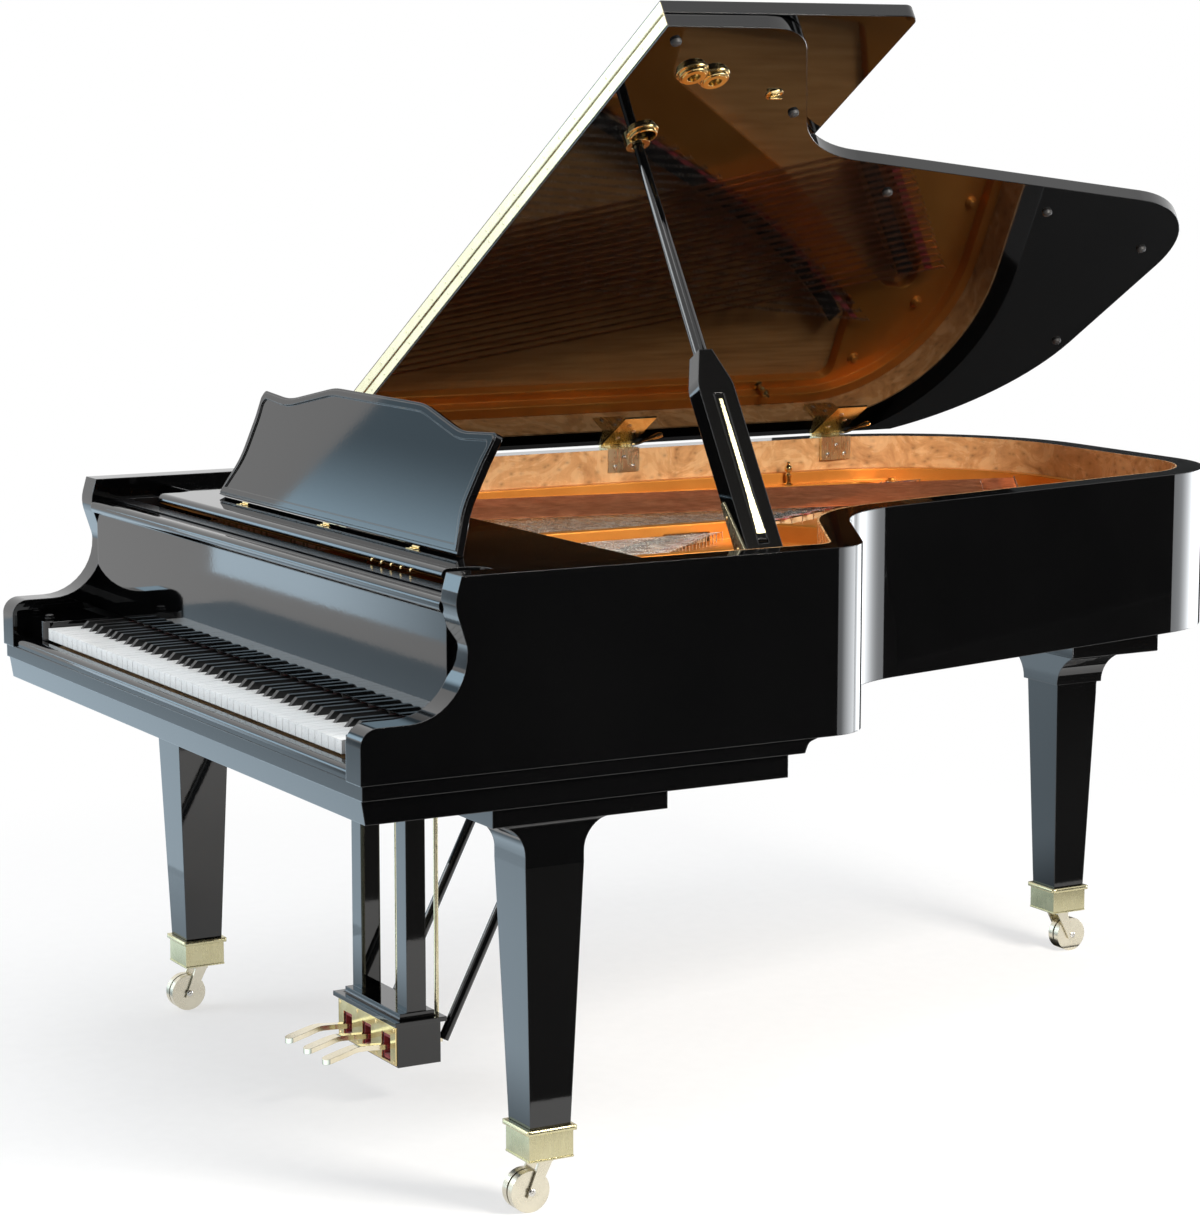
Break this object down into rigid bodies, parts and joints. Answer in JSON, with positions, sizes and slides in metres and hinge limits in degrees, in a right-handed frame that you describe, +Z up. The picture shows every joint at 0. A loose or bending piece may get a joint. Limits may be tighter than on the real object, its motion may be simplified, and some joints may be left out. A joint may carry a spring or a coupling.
{
  "type": "grand piano",
  "caption": "Polished black grand piano with its lid propped open, a music desk, keys, an iron plate with strings, a pedal lyre and three legs on casters.",
  "frame": {"origin": "floor level under the middle of the whole object", "axes": "+X to the treble side, +Y from the keys to the tail, +Z up"},
  "size_m": [1.5011, 2.14, 1.832],
  "materials": {
    "ebony": "polished black",
    "maple": "lacquered figured veneer",
    "beech": "plain",
    "spruce": "satin",
    "bronze_iron": "gold bronze paint",
    "steel": "bright",
    "copper": "copper wound",
    "brass": "polished",
    "damper_wood": "satin black",
    "key_white": "gloss",
    "key_black": "satin"
  },
  "bodies": {
    "case": {"outer_rim": "ebony", "inner_rim": "beech", "rim_veneer": "maple", "keybed": "ebony", "key_slip": "ebony", "key_blocks": "ebony", "soundboard": "spruce", "bridges": "beech", "iron_plate": "bronze_iron", "hitch_pins": "steel", "pin_block": "beech", "tuning_pins": "steel", "plain_strings": "steel", "wound_strings": "copper", "case_timbers": "beech", "legs": "ebony", "leg_ferrules": "brass", "lyre_frame": "ebony", "lyre_plate": "brass", "lyre_braces": "ebony", "lid_hinge_plates": "brass", "prop_bracket": "brass"},
    "shelf": {"music_shelf": "ebony", "desk_hinges": "brass"},
    "desk": {"music_desk": "ebony"},
    "fallboard": {"fallboard": "ebony"},
    "lid": {"lid_main": "ebony", "lid_fittings": "brass", "lid_front_hinge": "brass"},
    "lid_flap": {"lid_front": "ebony", "flap_hinge_leaf": "brass"},
    "prop": {"lid_prop": "ebony"},
    "short_prop": {"lid_prop_short": "ebony"},
    "key_frame": {"key_frame": "beech"},
    "hammers": {"hammers": "beech"},
    "dampers": {"dampers": "damper_wood"},
    "caster_front_treble": {"caster_front_treble": "brass"},
    "wheel_front_treble": {"wheel_front_treble": "brass"},
    "caster_front_bass": {"caster_front_bass": "brass"},
    "wheel_front_bass": {"wheel_front_bass": "brass"},
    "caster_rear": {"caster_rear": "brass"},
    "wheel_rear": {"wheel_rear": "brass"},
    "pedal_una_corda": {"pedal_una_corda": "brass"},
    "rod_una_corda": {"rod_una_corda": "brass"},
    "pedal_sostenuto": {"pedal_sostenuto": "brass"},
    "rod_sostenuto": {"rod_sostenuto": "brass"},
    "pedal_sustain": {"pedal_sustain": "brass"},
    "rod_sustain": {"rod_sustain": "brass"},
    "keys_c": {"keys_c": "key_white"},
    "keys_c_sharp": {"keys_c_sharp": "key_black"},
    "keys_d": {"keys_d": "key_white"},
    "keys_d_sharp": {"keys_d_sharp": "key_black"},
    "keys_e": {"keys_e": "key_white"},
    "keys_f": {"keys_f": "key_white"},
    "keys_f_sharp": {"keys_f_sharp": "key_black"},
    "keys_g": {"keys_g": "key_white"},
    "keys_g_sharp": {"keys_g_sharp": "key_black"},
    "keys_a": {"keys_a": "key_white"},
    "keys_a_sharp": {"keys_a_sharp": "key_black"},
    "keys_b": {"keys_b": "key_white"}
  },
  "joints": [
    {"name": "shelf_slide", "type": "slide", "parent": "case", "child": "shelf", "axis": [0, -1, 0], "range_m": [0, 0.1]},
    {"name": "desk_fold", "type": "hinge", "parent": "shelf", "child": "desk", "pos_m": [0, -0.755, 0.9845], "axis": [1, 0, 0], "range_deg": [-65.8, 0]},
    {"name": "fallboard_hinge", "type": "hinge", "parent": "case", "child": "fallboard", "pos_m": [0, -0.896, 0.78], "axis": [1, 0, 0], "range_deg": [0, 90]},
    {"name": "lid_hinge", "type": "hinge", "parent": "case", "child": "lid", "pos_m": [-0.73, 0, 1.0045], "axis": [0, -1, 0], "range_deg": [0, 35]},
    {"name": "flap_hinge", "type": "hinge", "parent": "lid", "child": "lid_flap", "pos_m": [-0.12081, -0.445, 1.40745], "axis": [0.8517, 0, 0.524], "range_deg": [0, 180]},
    {"name": "prop_hinge", "type": "hinge", "parent": "case", "child": "prop", "pos_m": [0.667, -0.335, 0.965], "axis": [0, 1, 0], "range_deg": [-58.2, 0]},
    {"name": "short_prop_hinge", "type": "hinge", "parent": "prop", "child": "short_prop", "pos_m": [0.65335, -0.335, 1.00532], "axis": [0, 1, 0], "range_deg": [0, 50]},
    {"name": "caster_front_treble_swivel", "type": "hinge", "parent": "case", "child": "caster_front_treble", "pos_m": [0.672, -0.737, 0.0855], "axis": [0, 0, 1], "continuous": true},
    {"name": "wheel_front_treble_spin", "type": "hinge", "parent": "caster_front_treble", "child": "wheel_front_treble", "pos_m": [0.672, -0.761, 0.033], "axis": [1, 0, 0], "continuous": true},
    {"name": "caster_front_bass_swivel", "type": "hinge", "parent": "case", "child": "caster_front_bass", "pos_m": [-0.672, -0.737, 0.0855], "axis": [0, 0, 1], "continuous": true},
    {"name": "wheel_front_bass_spin", "type": "hinge", "parent": "caster_front_bass", "child": "wheel_front_bass", "pos_m": [-0.672, -0.761, 0.033], "axis": [1, 0, 0], "continuous": true},
    {"name": "caster_rear_swivel", "type": "hinge", "parent": "case", "child": "caster_rear", "pos_m": [-0.225, 0.925, 0.0855], "axis": [0, 0, 1], "continuous": true},
    {"name": "wheel_rear_spin", "type": "hinge", "parent": "caster_rear", "child": "wheel_rear", "pos_m": [-0.225, 0.949, 0.033], "axis": [1, 0, 0], "continuous": true},
    {"name": "pedal_una_corda_press", "type": "hinge", "parent": "case", "child": "pedal_una_corda", "pos_m": [-0.075, -0.665, 0.1038], "axis": [1, 0, 0], "range_deg": [0, 6], "stiffness_Nm_per_rad": 60, "springref_deg": -2.86},
    {"name": "rod_una_corda_lift", "type": "slide", "parent": "case", "child": "rod_una_corda", "axis": [0, 0, 1], "range_m": [0, 0.0057]},
    {"name": "pedal_sostenuto_press", "type": "hinge", "parent": "case", "child": "pedal_sostenuto", "pos_m": [0, -0.665, 0.1038], "axis": [1, 0, 0], "range_deg": [0, 6], "stiffness_Nm_per_rad": 60, "springref_deg": -2.86},
    {"name": "rod_sostenuto_lift", "type": "slide", "parent": "case", "child": "rod_sostenuto", "axis": [0, 0, 1], "range_m": [0, 0.0057]},
    {"name": "pedal_sustain_press", "type": "hinge", "parent": "case", "child": "pedal_sustain", "pos_m": [0.075, -0.665, 0.1038], "axis": [1, 0, 0], "range_deg": [0, 6], "stiffness_Nm_per_rad": 60, "springref_deg": -2.86},
    {"name": "rod_sustain_lift", "type": "slide", "parent": "case", "child": "rod_sustain", "axis": [0, 0, 1], "range_m": [0, 0.0057]},
    {"name": "damper_lift", "type": "slide", "parent": "case", "child": "dampers", "axis": [0, 0, 1], "range_m": [0, 0.0081]},
    {"name": "key_frame_shift", "type": "slide", "parent": "case", "child": "key_frame", "axis": [1, 0, 0], "range_m": [0, 0.0031]},
    {"name": "hammer_strike", "type": "hinge", "parent": "key_frame", "child": "hammers", "pos_m": [0, -0.72, 0.848], "axis": [1, 0, 0], "range_deg": [0, 21]},
    {"name": "keys_c_press", "type": "hinge", "parent": "key_frame", "child": "keys_c", "pos_m": [0, -0.8, 0.727], "axis": [1, 0, 0], "range_deg": [0, 2.4], "stiffness_Nm_per_rad": 20, "springref_deg": -2.86},
    {"name": "keys_c_sharp_press", "type": "hinge", "parent": "key_frame", "child": "keys_c_sharp", "pos_m": [0, -0.8, 0.727], "axis": [1, 0, 0], "range_deg": [0, 2.4], "stiffness_Nm_per_rad": 20, "springref_deg": -2.86},
    {"name": "keys_d_press", "type": "hinge", "parent": "key_frame", "child": "keys_d", "pos_m": [0, -0.8, 0.727], "axis": [1, 0, 0], "range_deg": [0, 2.4], "stiffness_Nm_per_rad": 20, "springref_deg": -2.86},
    {"name": "keys_d_sharp_press", "type": "hinge", "parent": "key_frame", "child": "keys_d_sharp", "pos_m": [0, -0.8, 0.727], "axis": [1, 0, 0], "range_deg": [0, 2.4], "stiffness_Nm_per_rad": 20, "springref_deg": -2.86},
    {"name": "keys_e_press", "type": "hinge", "parent": "key_frame", "child": "keys_e", "pos_m": [0, -0.8, 0.727], "axis": [1, 0, 0], "range_deg": [0, 2.4], "stiffness_Nm_per_rad": 20, "springref_deg": -2.86},
    {"name": "keys_f_press", "type": "hinge", "parent": "key_frame", "child": "keys_f", "pos_m": [0, -0.8, 0.727], "axis": [1, 0, 0], "range_deg": [0, 2.4], "stiffness_Nm_per_rad": 20, "springref_deg": -2.86},
    {"name": "keys_f_sharp_press", "type": "hinge", "parent": "key_frame", "child": "keys_f_sharp", "pos_m": [0, -0.8, 0.727], "axis": [1, 0, 0], "range_deg": [0, 2.4], "stiffness_Nm_per_rad": 20, "springref_deg": -2.86},
    {"name": "keys_g_press", "type": "hinge", "parent": "key_frame", "child": "keys_g", "pos_m": [0, -0.8, 0.727], "axis": [1, 0, 0], "range_deg": [0, 2.4], "stiffness_Nm_per_rad": 20, "springref_deg": -2.86},
    {"name": "keys_g_sharp_press", "type": "hinge", "parent": "key_frame", "child": "keys_g_sharp", "pos_m": [0, -0.8, 0.727], "axis": [1, 0, 0], "range_deg": [0, 2.4], "stiffness_Nm_per_rad": 20, "springref_deg": -2.86},
    {"name": "keys_a_press", "type": "hinge", "parent": "key_frame", "child": "keys_a", "pos_m": [0, -0.8, 0.727], "axis": [1, 0, 0], "range_deg": [0, 2.4], "stiffness_Nm_per_rad": 20, "springref_deg": -2.86},
    {"name": "keys_a_sharp_press", "type": "hinge", "parent": "key_frame", "child": "keys_a_sharp", "pos_m": [0, -0.8, 0.727], "axis": [1, 0, 0], "range_deg": [0, 2.4], "stiffness_Nm_per_rad": 20, "springref_deg": -2.86},
    {"name": "keys_b_press", "type": "hinge", "parent": "key_frame", "child": "keys_b", "pos_m": [0, -0.8, 0.727], "axis": [1, 0, 0], "range_deg": [0, 2.4], "stiffness_Nm_per_rad": 20, "springref_deg": -2.86}
  ],
  "couplings": [
    {"joint": "rod_una_corda_lift", "follows": "pedal_una_corda_press", "m_per_rad": 0.053},
    {"joint": "rod_sostenuto_lift", "follows": "pedal_sostenuto_press", "m_per_rad": 0.053},
    {"joint": "rod_sustain_lift", "follows": "pedal_sustain_press", "m_per_rad": 0.053},
    {"joint": "damper_lift", "follows": "pedal_sustain_press", "m_per_rad": 0.0764},
    {"joint": "key_frame_shift", "follows": "pedal_una_corda_press", "m_per_rad": 0.02865}
  ]
}
